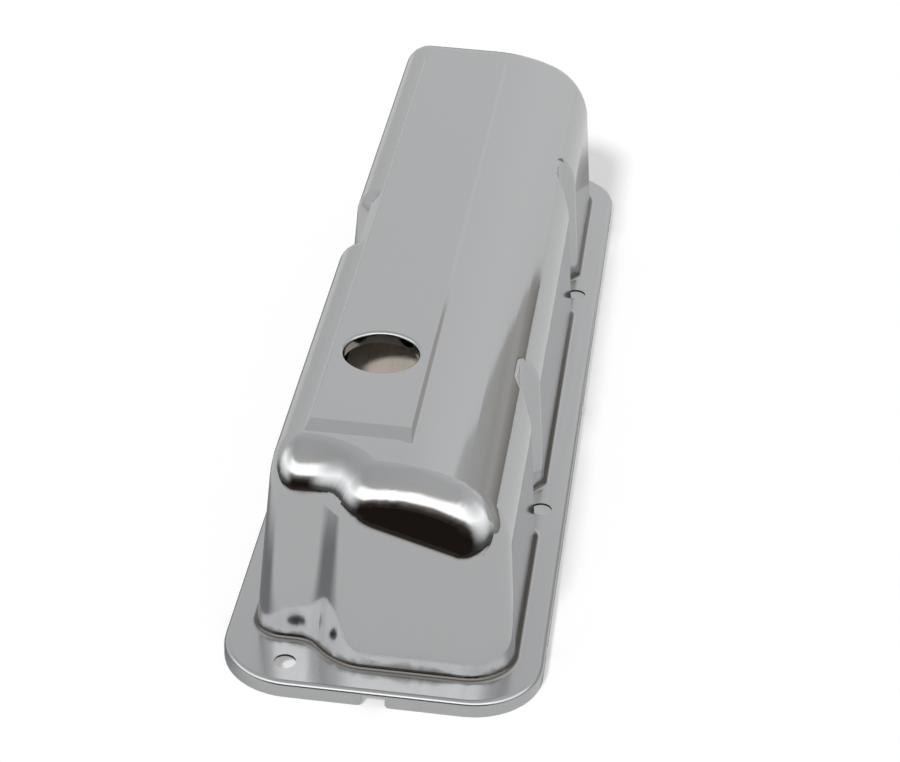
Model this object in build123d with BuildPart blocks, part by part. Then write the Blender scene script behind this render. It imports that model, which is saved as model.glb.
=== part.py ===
"""Engine valve cover: one pressed, chrome plated steel shell with an oil baffle welded inside.

Units are mm. +X is the cover's right side (the sloping shoulder side), +Y runs along its
length and +Z is up. The origin is on the gasket side, at the middle of the lip's outline.
"""
from build123d import *
from math import acos, cos, radians, sin, tan
import os

os.makedirs("parts", exist_ok=True)

# ---- sheet and flange
sheet = 1.0                  # thickness of the steel
flange_length = 460.0
flange_width = 128.6
flange_corner = 29.0         # corner radius in plan
lip_depth = 7.0              # height of the turned-down lip, flange face to gasket plane
bend_radius = 2.2            # outside radius where the flange turns down into the lip
root_radius = 2.5            # outside radius where the wall meets the flange

# ---- raised body, measured at the flange face
left_ledge = 10.9            # width of the flange beside the left wall
right_ledge = 11.9
end_ledge = 13.7
wall_draft = 3.7             # degrees, left and end walls
right_draft = 5.15           # degrees, right wall
crown_height = 83.6          # flange face to the flat of the crown
shoulder_radius = 80.0       # first, gentle curve from the crown to the shoulder
shoulder_turn = 22.0         # degrees turned by that curve
haunch_radius = 31.0         # second curve, down into the right wall
end_roll = 19.0              # radius over the ends and down the two right corners
side_roll = 12.0             # radius over the left edge and down the two left corners

# ---- leaning flat pressed into the roll of the near end, widening to the right
end_flat_lean = 20.0         # degrees from upright
end_flat_turn = 5.0          # degrees that it faces to the right
end_flat_depth = 0.15        # pressed into the roll at the x where it begins
end_flat_softness = 16.0     # radius round its edge

# ---- set-back column at the near left corner, clear of the corner bolt
column_set_back = 14.4
column_clearance = 7.6       # corner bolt to where the set-back begins to turn out, along x
column_run = 13.6            # from there to where it has come out to the end wall
column_inner_radius = 12.0
column_outer_radius = 24.0

# ---- recess in the left wall, clear of the middle bolt
recess_depth = 10.0
recess_floor = 16.0          # length of its floor
recess_mouth = 46.0
recess_y = 4.0
recess_inner_radius = 10.0
recess_outer_radius = 14.0

# ---- scoops in the right and far walls, clear of the bolts there
scoop_depth = 9.0            # from the right wall to the scoop's floor, at the flange
far_scoop_depth = 8.0        # the same, from the far end wall
scoop_floor = 14.0
scoop_mouth = 40.0
scoop_inner_radius = 9.0
scoop_lean = 3.3             # degrees that the floor leans in
scoop_rim = 5.0

# ---- raised panel on the crown
panel_height = 1.0
panel_left_gap = 10.6        # left wall, at the height of the crown, to the panel
panel_right_gap = 47.2       # right wall, at the flange, to the panel
panel_end_gap = 29.3         # end walls, at the flange, to the panel
panel_corner = 7.0
panel_root = 3.0             # how far its sloping edge runs down inside the shoulder
panel_slope = 50.0           # degrees from upright
panel_softness = 0.8
ramp_gap = 47.3              # near end wall, at the flange, to where the panel starts to sink
ramp_length = 8.0            # from there to where it meets the crown
ramp_root = 0.2              # how far below the crown the ramp ends

# ---- breather hole in the panel
breather_margin = 5.7        # between the hole and the long edges of the panel
breather_from_end = 115.5    # near edge of the flange to the hole's centre
collar_depth = 5.0           # panel face to the lower edge of the turned-down collar
collar_radius = 1.6          # outside radius of the turned-down edge

# ---- fixings
bolt_hole = 8.8
corner_bolt_inset = 27.0     # left edge of the flange to the two left corner bolts
end_bolt_inset = 13.5        # ends of the flange to the same bolts
side_bolt_inset = 11.0       # flange edge to the middle and right bolts
right_bolts_y = (-93.5, 97.5)

# ---- gasket tab notches in the lip
front_notch = 9.2
side_notch = 6.4
side_notch_from_end = 45.0   # ends of the flange to the outer notches of each side
notch_height = 5.0
tab_corner = 2.0

# ---- oil baffle, spot welded under the crown
baffle_sheet = 0.8
baffle_margin = 3.3          # between the baffle and the long edges of the panel
baffle_length = 82.0         # between its two upright ends
baffle_drop = 20.0           # crown's underside to the baffle's upper face
baffle_foot = 12.0           # length of each welded foot
baffle_bend = 2.0            # outside radius of its four bends

# ---- worked out from the sizes above
flange_face = lip_depth
crown_face = flange_face + crown_height
panel_face = crown_face + panel_height
body_left = flange_width / 2 - left_ledge      # centre line to the left wall
body_right = flange_width / 2 - right_ledge
body_half = flange_length / 2 - end_ledge
corner_bolt_x = corner_bolt_inset - flange_width / 2
corner_bolt_y = flange_length / 2 - end_bolt_inset
side_bolt_x = flange_width / 2 - side_bolt_inset
column_side = corner_bolt_x + column_clearance
column_return = column_side + column_run
panel_left = crown_height * tan(radians(wall_draft)) + panel_left_gap - body_left
panel_right = body_right - panel_right_gap
panel_half = body_half - panel_end_gap
panel_middle = (panel_left + panel_right) / 2
breather_y = breather_from_end - flange_length / 2
breather_radius = (panel_right - panel_left) / 2 - breather_margin
baffle_width = panel_right - panel_left - 2 * baffle_margin
side_notch_y = flange_length / 2 - side_notch_from_end
reach = flange_width         # well outside the body, for the solids that only cut
bolts = [(corner_bolt_x, -corner_bolt_y), (-side_bolt_x, recess_y), (corner_bolt_x, corner_bolt_y)]
bolts += [(side_bolt_x, y) for y in right_bolts_y]


def plan_outline(inset):
    """Plan of the body at the flange, left open past the right wall."""
    end, column = body_half, body_half - column_set_back
    floor, mouth = recess_floor / 2, recess_mouth / 2
    floor_x = recess_depth - body_left
    radii = {column_return: column_outer_radius, column_side: column_inner_radius,
             floor_x: recess_inner_radius}
    with BuildSketch() as plan:
        with BuildLine():
            Polyline(
                (column_return, -end), (reach, -end), (reach, end), (-body_left, end),
                (-body_left, recess_y + mouth), (floor_x, recess_y + floor),
                (floor_x, recess_y - floor), (-body_left, recess_y - mouth),
                (-body_left, -column), (column_side, -column), close=True)
        make_face()
        for x, radius in radii.items():
            fillet(plan.vertices().filter_by(lambda v: abs(v.X - x) < 0.01), radius=radius)
        mouths = plan.vertices().filter_by(
            lambda v: abs(v.X + body_left) < 0.01 and abs(abs(v.Y - recess_y) - mouth) < 0.01)
        fillet(mouths, radius=recess_outer_radius)
        if inset:
            offset(amount=-inset, kind=Kind.INTERSECTION, mode=Mode.REPLACE)
    return plan.sketch


def section_profile(inset):
    """Section across the length: flat crown, two-curve shoulder and leaning right wall."""
    turn, lean = radians(shoulder_turn), radians(right_draft)
    gentle, tight = shoulder_radius - inset, haunch_radius - inset
    top = crown_height
    join_z = top - gentle * (1 - cos(turn))
    centre_z = join_z - tight * cos(turn)
    wall_top_z = centre_z + tight * sin(lean)
    foot_x = body_right - inset / cos(lean)
    wall_top_x = foot_x - wall_top_z * tan(lean)
    centre_x = wall_top_x - tight * cos(lean)
    join_x = centre_x + tight * sin(turn)
    flat_end = join_x - gentle * sin(turn)
    half = (turn + radians(90) - lean) / 2
    with BuildSketch(Plane.XZ) as section:
        with BuildLine():
            Line((-reach, 0), (-reach, top))
            Line((-reach, top), (flat_end, top))
            ThreePointArc((flat_end, top),
                          (flat_end + gentle * sin(turn / 2), top - gentle * (1 - cos(turn / 2))),
                          (join_x, join_z))
            ThreePointArc((join_x, join_z),
                          (centre_x + tight * sin(half), centre_z + tight * cos(half)),
                          (wall_top_x, wall_top_z))
            Line((wall_top_x, wall_top_z), (foot_x, 0))
            Line((foot_x, 0), (-reach, 0))
        make_face()
    return section.sketch


def scoop_tool(inset):
    """What is pushed in beside one bolt: its floor, on the origin, leans in as it rises."""
    floor, mouth = scoop_floor / 2, scoop_mouth / 2
    far = reach / 2
    width = floor + (mouth - floor) * far / scoop_depth
    with BuildPart() as tool:
        with BuildSketch(Plane.XY.rotated((0, -scoop_lean, 0))) as plan:
            with BuildLine():
                Polyline((0, -floor), (far, -width), (far, width), (0, floor), close=True)
            make_face()
            inner = plan.vertices().filter_by(lambda v: abs(v.X) < 0.01)
            fillet(inner, radius=scoop_inner_radius + inset)
        extrude(amount=crown_height + 20)
        extrude(plan.sketch, amount=-20)
    return tool.part


def scoop_places(inset):
    """Where each scoop's floor stands at the flange, facing out of the body."""
    right = [Location((body_right - scoop_depth - inset, y, 0)) for y in right_bolts_y]
    far = Location((corner_bolt_x, body_half - far_scoop_depth - inset, 0), (0, 0, 90))
    return right + [far]


def is_scoop_rim(edge, place):
    """True for the edges round one scoop's mouth, seen from the scoop's own place."""
    middle = (place.inverse() * Location(edge.center())).position
    near = abs(middle.Y) < scoop_mouth / 2 + 2 and -40 < middle.X < scoop_depth + 4
    inner = edge.length > crown_height / 2 and middle.X < scoop_depth - 4
    return near and middle.Z > 1 and not inner


def is_end_edge(edge):
    """True for the edges over the two ends, and down the two right corners."""
    middle = edge.center()
    end = abs(middle.Y) > body_half - column_set_back - 14 and edge.length < 2 * body_half - 60
    crown = middle.Z > crown_height * 0.6 and middle.X > 6 - body_left
    return end and (crown or (middle.X > body_right - 6 and middle.Z > 1))


def is_side_edge(edge):
    """True for the left edge of the crown and the two left corners."""
    middle = edge.center()
    left = middle.X < recess_depth + 6 - body_left
    crown = middle.Z > crown_height - 1 and abs(middle.Y) < 0.7 * body_half
    corner = abs(middle.Y) > body_half - column_set_back - 12 and middle.X < 6 - body_left
    return left and middle.Z > 1 and (crown or corner)


def end_flat_plane(inset):
    """The leaning flat of the near end, as a plane facing out of the body."""
    draft, lean, turn = radians(wall_draft), radians(end_flat_lean), radians(end_flat_turn)
    roll_z = crown_height - end_roll
    roll_y = roll_z * tan(draft) - body_half + end_roll / cos(draft)
    out = Vector(sin(turn) * cos(lean), -cos(turn) * cos(lean), sin(lean))
    start = Vector(column_return, roll_y, roll_z) + out * (end_roll - end_flat_depth - inset)
    return Plane(origin=start, z_dir=out)


def raised_body(inset):
    """The body as a solid, standing on z = 0; inset 0 is the outside, sheet the inside."""
    with BuildPart() as body:
        with BuildSketch() as plan:
            add(plan_outline(inset))
        extrude(amount=crown_height + 20, taper=wall_draft)
        with BuildSketch(Plane.XZ) as section:
            add(section_profile(inset))
        extrude(amount=flange_length, both=True, mode=Mode.INTERSECT)
        fillet(body.edges().filter_by(is_end_edge), radius=end_roll - inset)
        fillet(body.edges().filter_by(is_side_edge), radius=side_roll - inset)
        leaning = end_flat_plane(inset)
        with BuildSketch(leaning):
            Rectangle(2 * reach, 2 * reach)
        extrude(amount=reach, mode=Mode.SUBTRACT)
        flat = body.faces().sort_by_distance(leaning.origin)[0]
        fillet(flat.edges(), radius=end_flat_softness - inset)
        for place in scoop_places(inset):
            add(scoop_tool(inset).moved(place), mode=Mode.SUBTRACT)
            rim = body.edges().filter_by(lambda e: is_scoop_rim(e, place))
            fillet(rim, radius=scoop_rim - inset)
    return body


def rounded_plate(inset, bottom, top):
    """The flange and its lip as one block with the bend along its top edge."""
    with BuildPart() as plate:
        with BuildSketch(Plane.XY.offset(bottom)):
            RectangleRounded(flange_width - 2 * inset, flange_length - 2 * inset,
                             flange_corner - inset)
        extrude(amount=top - bottom)
        fillet(plate.edges().group_by(Axis.Z)[-1], radius=bend_radius - inset)
    return plate.part


def pressing(inset):
    """Flange block, body and the bend between them; inset 0 is the outside of the sheet."""
    face = flange_face - inset
    with BuildPart() as shape:
        add(rounded_plate(inset, -inset, face))
        add(raised_body(inset).part.moved(Location((0, 0, face))))
        root = shape.edges().filter_by(
            lambda e: abs(e.center().Z - face) < 0.01
            and abs(e.center().X) < body_right + 4 and abs(e.center().Y) < body_half + 4)
        fillet(root, radius=root_radius + inset)
    return shape.part


def panel(inset):
    """The raised panel, with sloping edges and a ramp that sinks its near end."""
    rise = panel_height + panel_root
    spread = panel_root * tan(radians(panel_slope))
    top = panel_face - inset
    ramp_start = ramp_gap - body_half
    ramp_end = ramp_start - ramp_length * (1 + ramp_root / panel_height)
    with BuildPart() as block:
        with BuildSketch(Plane((panel_middle, 0, top - rise))):
            RectangleRounded(panel_right - panel_left + 2 * spread, 2 * (panel_half + spread),
                             panel_corner + spread)
        extrude(amount=rise, taper=panel_slope)
        fillet(block.edges().group_by(Axis.Z)[-1], radius=panel_softness)
        with BuildSketch(Plane.YZ):
            with BuildLine():
                Polyline((ramp_start, top), (ramp_end, top - panel_height - ramp_root),
                         (ramp_end, top - rise), (-body_half, top - rise),
                         (-body_half, top + 1), (ramp_start, top + 1), close=True)
            make_face()
        extrude(amount=reach, both=True, mode=Mode.SUBTRACT)
    return block.part


def notch(length):
    """A cut through the lip, open at the bottom, across the middle of its length."""
    return Box(length, 4 * sheet, notch_height, align=(Align.CENTER, Align.CENTER, Align.MIN),
               mode=Mode.SUBTRACT)


with BuildPart() as valve_cover:
    # the pressed sheet: outside shape less inside shape
    add(pressing(0))
    add(panel(0))
    add(pressing(sheet), mode=Mode.SUBTRACT)
    add(panel(sheet), mode=Mode.SUBTRACT)

    # breather hole, its edge turned down into a collar
    with Locations((panel_middle, breather_y, panel_face - collar_depth)):
        Cylinder(breather_radius + sheet, collar_depth - sheet / 2,
                 align=(Align.CENTER, Align.CENTER, Align.MIN))
    with Locations((panel_middle, breather_y, panel_face)):
        Cylinder(breather_radius, 2 * collar_depth + 1, mode=Mode.SUBTRACT)
    rim = valve_cover.edges().filter_by(GeomType.CIRCLE).filter_by(
        lambda e: abs(e.radius - breather_radius) < 0.01
        and abs(e.center().Z - panel_face) < 0.01)
    fillet(rim, radius=collar_radius)

    # bolt holes through the flange
    with Locations([(x, y, flange_face) for x, y in bolts]):
        Cylinder(bolt_hole / 2, 4 * sheet, mode=Mode.SUBTRACT)

    # notches in the lip, for the tabs of the gasket
    with Locations((0, -flange_length / 2, 0), (0, flange_length / 2, 0)):
        notch(front_notch)
    for side in (-1, 1):
        with Locations([Location((side * flange_width / 2, y, 0), (0, 0, 90))
                        for y in (-side_notch_y, 0, side_notch_y)]):
            notch(side_notch)
    tabs = valve_cover.edges().filter_by(
        lambda e: abs(e.length - sheet) < 0.01 and abs(e.center().Z) < 0.01)
    fillet(tabs, radius=tab_corner)

# oil baffle: a flat plate hung on two upright ends, with feet welded under the panel
with BuildPart() as oil_baffle:
    under = panel_face - sheet
    half = baffle_length / 2
    with BuildSketch(Plane.YZ.offset(panel_middle)):
        with BuildLine():
            path = FilletPolyline(
                (breather_y - half - baffle_foot, under), (breather_y - half, under),
                (breather_y - half, under - baffle_drop), (breather_y + half, under - baffle_drop),
                (breather_y + half, under), (breather_y + half + baffle_foot, under),
                radius=baffle_bend)
            offset(path, amount=baffle_sheet, side=Side.RIGHT)
        make_face()
    extrude(amount=baffle_width / 2, both=True)

valve_cover.part.label = "valve_cover"
oil_baffle.part.label = "oil_baffle"
export_step(valve_cover.part, "parts/valve_cover.step")
export_step(oil_baffle.part, "parts/oil_baffle.step")
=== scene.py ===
"""Dresses the engine valve cover: bright chrome over a lightly brushed pressing, a bare steel
baffle under the breather hole, a white studio floor and the studio that the chrome mirrors."""
import math

import bpy
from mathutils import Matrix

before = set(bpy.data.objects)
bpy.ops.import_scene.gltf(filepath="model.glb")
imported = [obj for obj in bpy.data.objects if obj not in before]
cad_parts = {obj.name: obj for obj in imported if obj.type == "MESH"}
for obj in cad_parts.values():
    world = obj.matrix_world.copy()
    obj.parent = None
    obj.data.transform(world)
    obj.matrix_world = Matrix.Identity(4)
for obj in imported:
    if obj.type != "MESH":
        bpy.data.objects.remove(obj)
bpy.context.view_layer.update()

MM = 0.001
WHITE = "#FFFFFF"
FLANGE_FACE = 7.0 * MM       # top of the flange
FLOOR_HALF = 3.0             # half of the floor's side, metres
CARD_HEIGHT = 0.82           # metres
CARD_FADE = 0.85             # share of the card's height where its upper edge begins to fade


# ---------------------------------------------------------------- colours and nodes
def linear(hex_colour):
    """sRGB hex to linear red, green, blue and alpha."""
    values = [int(hex_colour[i:i + 2], 16) / 255 for i in (1, 3, 5)]
    return tuple(v / 12.92 if v <= 0.04045 else ((v + 0.055) / 1.055) ** 2.4
                 for v in values) + (1.0,)


def add_node(tree, kind, inputs=None, **settings):
    """Adds a node; inputs maps a socket's name or number to a value or another socket."""
    node = tree.nodes.new(kind)
    for name, value in settings.items():
        setattr(node, name, value)
    for name, value in (inputs or {}).items():
        if isinstance(value, bpy.types.NodeSocket):
            tree.links.new(value, node.inputs[name])
        else:
            node.inputs[name].default_value = value
    return node


def set_ramp(node, stops):
    """Gives a colour ramp its stops, each a position and a hex colour or a level of light."""
    ramp = node.color_ramp
    while len(ramp.elements) < len(stops):
        ramp.elements.new(0.5)
    for element, (position, tone) in zip(ramp.elements, stops):
        element.position = position
        element.color = linear(tone) if isinstance(tone, str) else (tone, tone, tone, 1.0)


def new_material(name):
    """An empty node material and its output node."""
    material = bpy.data.materials.new(name)
    material.use_nodes = True
    material.node_tree.nodes.clear()
    return material, material.node_tree, add_node(material.node_tree, "ShaderNodeOutputMaterial")


# ---------------------------------------------------------------- materials
def chrome_plate():
    """Bright decorative chrome on a pressed steel sheet that was brushed before plating."""
    material, tree, output = new_material("chrome_plate")
    place = add_node(tree, "ShaderNodeTexCoord").outputs["Object"]
    # brushing runs along the cover: about 0.6 mm across, drawn coarser than the real grit
    strokes = add_node(tree, "ShaderNodeMapping", {0: place, "Scale": (1.0, 0.02, 1.0)})
    lines = add_node(tree, "ShaderNodeTexNoise",
                     {"Vector": strokes.outputs[0], "Scale": 1500.0, "Detail": 2.0})
    # slow waviness of the drawn sheet, about 25 mm from crest to crest
    waves = add_node(tree, "ShaderNodeTexNoise",
                     {"Vector": place, "Scale": 40.0, "Detail": 1.0})
    # the flange and the foot of the walls were brushed harder than the crown
    height = add_node(tree, "ShaderNodeSeparateXYZ", {0: place}).outputs["Z"]
    foot = add_node(tree, "ShaderNodeMapRange", {0: height, 1: 38.0 * MM, 2: 10.0 * MM})
    low = add_node(tree, "ShaderNodeMapRange", {0: foot.outputs[0], 3: 0.05, 4: 0.15})
    high = add_node(tree, "ShaderNodeMapRange", {0: foot.outputs[0], 3: 0.09, 4: 0.24})
    gloss = add_node(tree, "ShaderNodeMapRange", {
        0: lines.outputs["Fac"], 1: 0.3, 2: 0.7, 3: low.outputs[0], 4: high.outputs[0]})
    brushed = add_node(tree, "ShaderNodeBump", {
        "Strength": 0.03, "Distance": 0.02 * MM, "Height": lines.outputs["Fac"]})
    wavy = add_node(tree, "ShaderNodeBump", {
        "Strength": 0.2, "Distance": 0.05 * MM, "Height": waves.outputs["Fac"],
        "Normal": brushed.outputs[0]})
    # painted shade: the root of the walls, where they meet the flange, is painted darker, its upper
    # edge ragged in patches about 7 mm across
    shade_noise = add_node(tree, "ShaderNodeTexNoise",
                       {"Vector": place, "Scale": 140.0, "Detail": 4.0})
    edge = add_node(tree, "ShaderNodeMapRange", {
        0: shade_noise.outputs["Fac"], 1: 0.35, 2: 0.70,
        3: FLANGE_FACE + 2.4 * MM, 4: FLANGE_FACE + 7.0 * MM})
    above = add_node(tree, "ShaderNodeMapRange", {
        0: height, 1: FLANGE_FACE + 0.05 * MM, 2: FLANGE_FACE + 0.4 * MM})
    below = add_node(tree, "ShaderNodeMapRange", {
        0: height, 1: edge.outputs[0], 2: FLANGE_FACE + 1.2 * MM},
        interpolation_type="SMOOTHSTEP")
    root_shade = add_node(tree, "ShaderNodeMath", {0: above.outputs[0], 1: below.outputs[0]},
                    operation="MULTIPLY")
    # the chrome's colour, painted darker by the root shade
    plating = add_node(tree, "ShaderNodeMix", {
        0: root_shade.outputs[0], 6: linear("#C4C5C6"), 7: linear("#6C6965")}, data_type="RGBA")
    shader = add_node(tree, "ShaderNodeBsdfPrincipled", {
        "Base Color": plating.outputs[2], "Metallic": 1.0, "Roughness": gloss.outputs[0],
        "Normal": wavy.outputs[0]})
    tree.links.new(shader.outputs[0], output.inputs[0])
    return material


def baffle_steel():
    """Bare cold-rolled steel sheet with rolling streaks and a film of oil."""
    material, tree, output = new_material("baffle_steel")
    place = add_node(tree, "ShaderNodeTexCoord").outputs["Object"]
    strokes = add_node(tree, "ShaderNodeMapping", {0: place, "Scale": (1.0, 0.03, 1.0)})
    lines = add_node(tree, "ShaderNodeTexNoise",
                     {"Vector": strokes.outputs[0], "Scale": 900.0, "Detail": 3.0})
    tint = add_node(tree, "ShaderNodeMix", {
        0: lines.outputs["Fac"], 6: linear("#CFC5B7"), 7: linear("#EEE6DA")},
        data_type="RGBA")
    shader = add_node(tree, "ShaderNodeBsdfPrincipled", {
        "Base Color": tint.outputs[2], "Metallic": 0.15, "Roughness": 0.40})
    tree.links.new(shader.outputs[0], output.inputs[0])
    return material


def studio_floor():
    """White paper floor. The camera sees it white, with the cover's shadow. The chrome mirrors a
    darker copy, painted pale grey, with painted shade: dark brown well in front of the near end and
    a shaded strip beside the left wall."""
    material, tree, output = new_material("studio_floor")
    rays = add_node(tree, "ShaderNodeLightPath")
    paper = add_node(tree, "ShaderNodeBsdfDiffuse", {"Color": linear("#D2D2D2")})
    glow = add_node(tree, "ShaderNodeEmission", {"Color": linear(WHITE), "Strength": 0.38})
    seen = add_node(tree, "ShaderNodeAddShader", {0: paper.outputs[0], 1: glow.outputs[0]})
    place = add_node(tree, "ShaderNodeTexCoord").outputs["Object"]
    split = add_node(tree, "ShaderNodeSeparateXYZ", {0: place})
    across, along = split.outputs["X"], split.outputs["Y"]
    # painted shade: the mirrored copy fades to dark brown well in front of the near end
    lit = add_node(tree, "ShaderNodeMapRange", {0: along, 1: -0.75, 2: -0.40},
                   interpolation_type="SMOOTHSTEP")
    tone = add_node(tree, "ShaderNodeMix", {
        0: lit.outputs[0], 6: linear("#3A322C"), 7: linear("#DADADA")}, data_type="RGBA")
    # painted shade: a strip along the left side, close to the wall, is painted darker for the
    # cover's own shade
    near_wall = add_node(tree, "ShaderNodeMapRange", {0: across, 1: -0.18, 2: -0.11},
                         interpolation_type="SMOOTHSTEP")
    left = add_node(tree, "ShaderNodeMapRange", {0: across, 1: 0.0, 2: -0.05},
                    interpolation_type="SMOOTHSTEP")
    strip = add_node(tree, "ShaderNodeMath", {0: near_wall.outputs[0], 1: left.outputs[0]},
                     operation="MULTIPLY")
    behind = add_node(tree, "ShaderNodeMapRange", {0: along, 1: -0.235, 2: -0.205},
                      interpolation_type="SMOOTHSTEP")
    shade = add_node(tree, "ShaderNodeMath", {0: strip.outputs[0], 1: behind.outputs[0]},
                     operation="MULTIPLY")
    shaded = add_node(tree, "ShaderNodeMix", {
        0: shade.outputs[0], 6: tone.outputs[2], 7: linear("#8A8A8C")}, data_type="RGBA")
    # the chrome mirrors this painted copy, which is darker than the floor the camera sees
    mirrored = add_node(tree, "ShaderNodeBsdfDiffuse", {"Color": shaded.outputs[2]})
    mix = add_node(tree, "ShaderNodeMixShader", {
        0: rays.outputs["Is Camera Ray"], 1: mirrored.outputs[0], 2: seen.outputs[0]})
    tree.links.new(mix.outputs[0], output.inputs[0])
    return material


def dark_card():
    """Glowing sheet that only the chrome mirrors, painted with the greys of a card: a painted
    reflection; its upper edge is lost in the light.
    """
    material, tree, output = new_material("dark_card")
    rays = add_node(tree, "ShaderNodeLightPath")
    place = add_node(tree, "ShaderNodeTexCoord").outputs["Object"]
    height = add_node(tree, "ShaderNodeSeparateXYZ", {0: place}).outputs["Z"]
    up = add_node(tree, "ShaderNodeMapRange", {0: height, 1: 0.0, 2: CARD_HEIGHT})
    tone = add_node(tree, "ShaderNodeValToRGB", {0: up.outputs[0]})
    set_ramp(tone, ((0.0, "#86847E"), (0.20, "#AAA8A4"),
                    (0.32, "#BAB8B5"), (0.45, "#B3B1AD"),
                    (0.56, "#BABAB6"), (CARD_FADE, "#C0C0BF")))
    # painted reflection: the sheet glows with these greys though it is no lamp
    painted_glow = add_node(tree, "ShaderNodeEmission", {"Color": tone.outputs[0], "Strength": 1.0})
    clear = add_node(tree, "ShaderNodeBsdfTransparent")
    edge = add_node(tree, "ShaderNodeMapRange", {
        0: up.outputs[0], 1: CARD_FADE, 2: 1.0, 3: 1.0, 4: 0.0},
        interpolation_type="SMOOTHSTEP")
    shown = add_node(tree, "ShaderNodeMath",
                     {0: rays.outputs["Is Glossy Ray"], 1: edge.outputs[0]}, operation="MULTIPLY")
    mix = add_node(tree, "ShaderNodeMixShader", {
        0: shown.outputs[0], 1: clear.outputs[0], 2: painted_glow.outputs[0]})
    tree.links.new(mix.outputs[0], output.inputs[0])
    return material


# ---------------------------------------------------------------- the CAD nodes
FINISHES = {"valve_cover": chrome_plate(), "oil_baffle": baffle_steel()}
for name, finish in FINISHES.items():
    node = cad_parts[name]
    node.data.materials.clear()
    node.data.materials.append(finish)


# ---------------------------------------------------------------- floor and card
def stage_sheet(name, corners, faces, material):
    """One flat sheet of the studio, which isn't part of the cover."""
    mesh = bpy.data.meshes.new(name)
    mesh.from_pydata(corners, [], faces)
    sheet = bpy.data.objects.new(name, mesh)
    sheet.data.materials.append(material)
    bpy.context.scene.collection.objects.link(sheet)


floor_corners = [(x * FLOOR_HALF, y * FLOOR_HALF, 0)
                 for x, y in ((-1, -1), (1, -1), (1, 1), (-1, 1))]
stage_sheet("floor", floor_corners, [(0, 1, 2, 3)], studio_floor())

# the card stands behind the cover, to the right; only the near half mirrors it, and its
# inner edge leans inwards from a third of the way up
card_turn = math.radians(30.0)
card_distance = 1.0
card_inner, card_outer, card_lean_start = 0.03, 1.6, 0.33
card_profile = [(card_inner, 0.0), (card_outer, 0.0), (card_outer, card_lean_start),
                (card_inner - 0.01, card_lean_start), (card_outer, CARD_HEIGHT),
                (card_inner - 0.18, CARD_HEIGHT)]
card_corners = [(math.sin(card_turn) * card_distance + math.cos(card_turn) * u,
                 math.cos(card_turn) * card_distance - math.sin(card_turn) * u, z)
                for u, z in card_profile]
stage_sheet("dark_card", card_corners, [(0, 1, 2, 3), (3, 2, 4, 5)], dark_card())


# ---------------------------------------------------------------- the studio round the cover
def lamp():
    """A soft lamp at the front left, halfway up, that lights the baffle through the hole."""
    data = bpy.data.lights.new("lamp", "SUN")
    data.energy = 2.45
    data.angle = math.radians(9.0)
    light = bpy.data.objects.new("lamp", data)
    light.rotation_euler = (math.radians(43.0), math.radians(-17.5), 0.0)
    light.visible_glossy = False
    bpy.context.scene.collection.objects.link(light)


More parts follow.
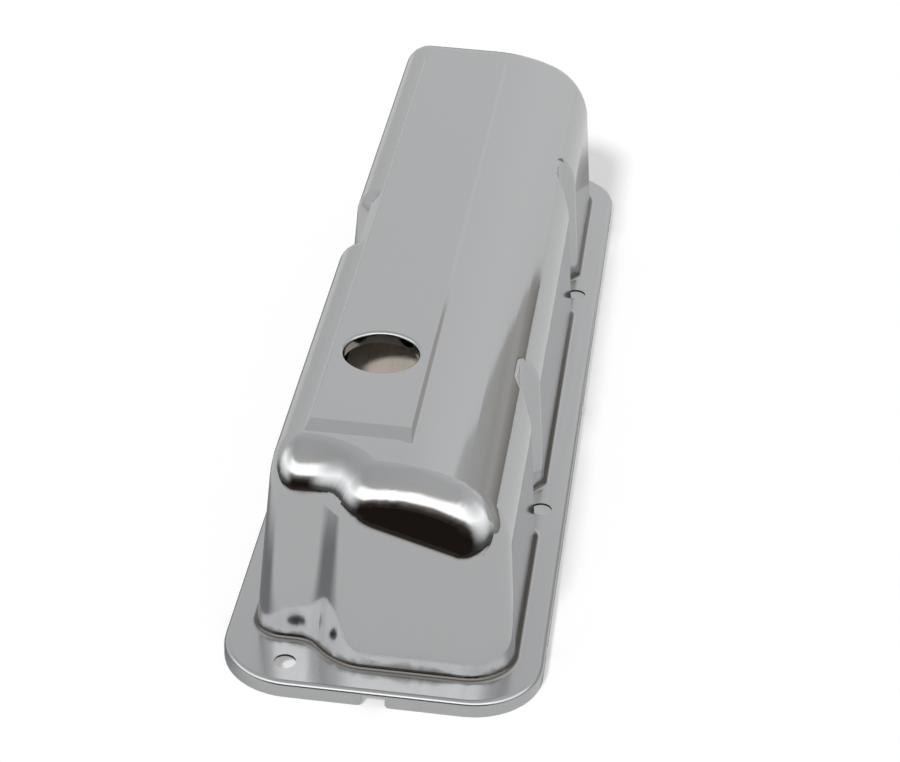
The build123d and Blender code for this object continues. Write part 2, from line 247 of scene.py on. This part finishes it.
def studio_world():
    """Plain soft light for all that is matt; the chrome mirrors the studio's walls and lamps."""
    world = bpy.data.worlds.new("studio")
    bpy.context.scene.world = world
    world.use_nodes = True
    tree = world.node_tree
    tree.nodes.clear()
    output = add_node(tree, "ShaderNodeOutputWorld")
    rays = add_node(tree, "ShaderNodeLightPath")
    way = add_node(tree, "ShaderNodeTexCoord").outputs["Generated"]
    split = add_node(tree, "ShaderNodeSeparateXYZ", {0: way})
    height = split.outputs["Z"]
    # the wall behind the cover, from the horizon to overhead
    back = add_node(tree, "ShaderNodeValToRGB", {0: height})
    set_ramp(back, ((0.0, 0.66), (0.35, 0.70), (0.54, 0.72), (0.61, 0.64), (0.72, 0.60),
                    (0.86, 0.55), (1.0, 0.55)))
    # it is brighter to the right
    shade = add_node(tree, "ShaderNodeMapRange", {0: split.outputs["X"], 1: -0.45, 2: 0.25,
                                                  3: 0.93, 4: 1.10})
    wall = add_node(tree, "ShaderNodeMix", {0: 1.0, 6: back.outputs[0], 7: shade.outputs[0]},
                    data_type="RGBA", blend_type="MULTIPLY")
    # the camera's side of the room: dark brown near the floor, then a large softbox
    front = add_node(tree, "ShaderNodeValToRGB", {0: height})
    set_ramp(front, ((0.0, "#27211D"), (0.16, "#1F1918"),
                     (0.30, "#453C37"), (0.42, "#95908B"), (0.52, 2.0),
                     (0.76, 2.0), (0.86, "#D4D3CD"), (1.0, 0.55)))
    side = add_node(tree, "ShaderNodeMapRange",
                    {0: split.outputs["Y"], 1: -0.50, 2: 0.05}, interpolation_type="SMOOTHSTEP")
    room = add_node(tree, "ShaderNodeMix", {
        0: side.outputs[0], 6: front.outputs[0], 7: wall.outputs[2]}, data_type="RGBA")
    # a softbox on each side, reaching lower than the front one
    lamps = add_node(tree, "ShaderNodeValToRGB", {0: height})
    set_ramp(lamps, ((0.0, 0.10), (0.10, 0.14), (0.28, 0.9), (0.52, 1.6), (0.75, 0.9), (1.0, 0.56)))
    aside = add_node(tree, "ShaderNodeMath", {0: split.outputs["X"]}, operation="ABSOLUTE")
    outward = add_node(tree, "ShaderNodeMapRange", {0: aside.outputs[0], 1: 0.35, 2: 0.85},
                       interpolation_type="SMOOTHSTEP")
    forward = add_node(tree, "ShaderNodeMapRange",
                       {0: split.outputs["Y"], 1: 0.45, 2: 0.0, 3: 0.0, 4: 1.0},
                       interpolation_type="SMOOTHSTEP")
    beside = add_node(tree, "ShaderNodeMath", {0: outward.outputs[0], 1: forward.outputs[0]},
                      operation="MULTIPLY")
    round_about = add_node(tree, "ShaderNodeMix", {
        0: beside.outputs[0], 6: room.outputs[2], 7: lamps.outputs[0]}, data_type="RGBA")
    mirrored = add_node(tree, "ShaderNodeBackground",
                        {"Color": round_about.outputs[2], "Strength": 1.0})
    plain = add_node(tree, "ShaderNodeBackground", {"Color": linear(WHITE), "Strength": 0.45})
    seen = add_node(tree, "ShaderNodeBackground", {"Color": linear(WHITE), "Strength": 1.0})
    first = add_node(tree, "ShaderNodeMixShader", {
        0: rays.outputs["Is Glossy Ray"], 1: plain.outputs[0], 2: mirrored.outputs[0]})
    mix = add_node(tree, "ShaderNodeMixShader", {
        0: rays.outputs["Is Camera Ray"], 1: first.outputs[0], 2: seen.outputs[0]})
    tree.links.new(mix.outputs[0], output.inputs[0])


lamp()
studio_world()


# ---------------------------------------------------------------- camera
def set_camera():
    """A long lens, looking down along the cover from its near end."""
    data = bpy.data.cameras.new("camera")
    data.sensor_fit = "HORIZONTAL"
    data.sensor_width = 36.0
    data.lens = 96.0
    data.clip_end = 50.0
    camera = bpy.data.objects.new("camera", data)
    camera.location = CAMERA_PLACE
    camera.rotation_euler = [math.radians(a) for a in CAMERA_TURN]
    bpy.context.scene.collection.objects.link(camera)
    bpy.context.scene.camera = camera


CAMERA_PLACE = (0.09702, -0.95244, 0.60350)
CAMERA_TURN = (58.143, -2.241, 7.130)
set_camera()

bpy.context.scene.view_settings.view_transform = "Standard"
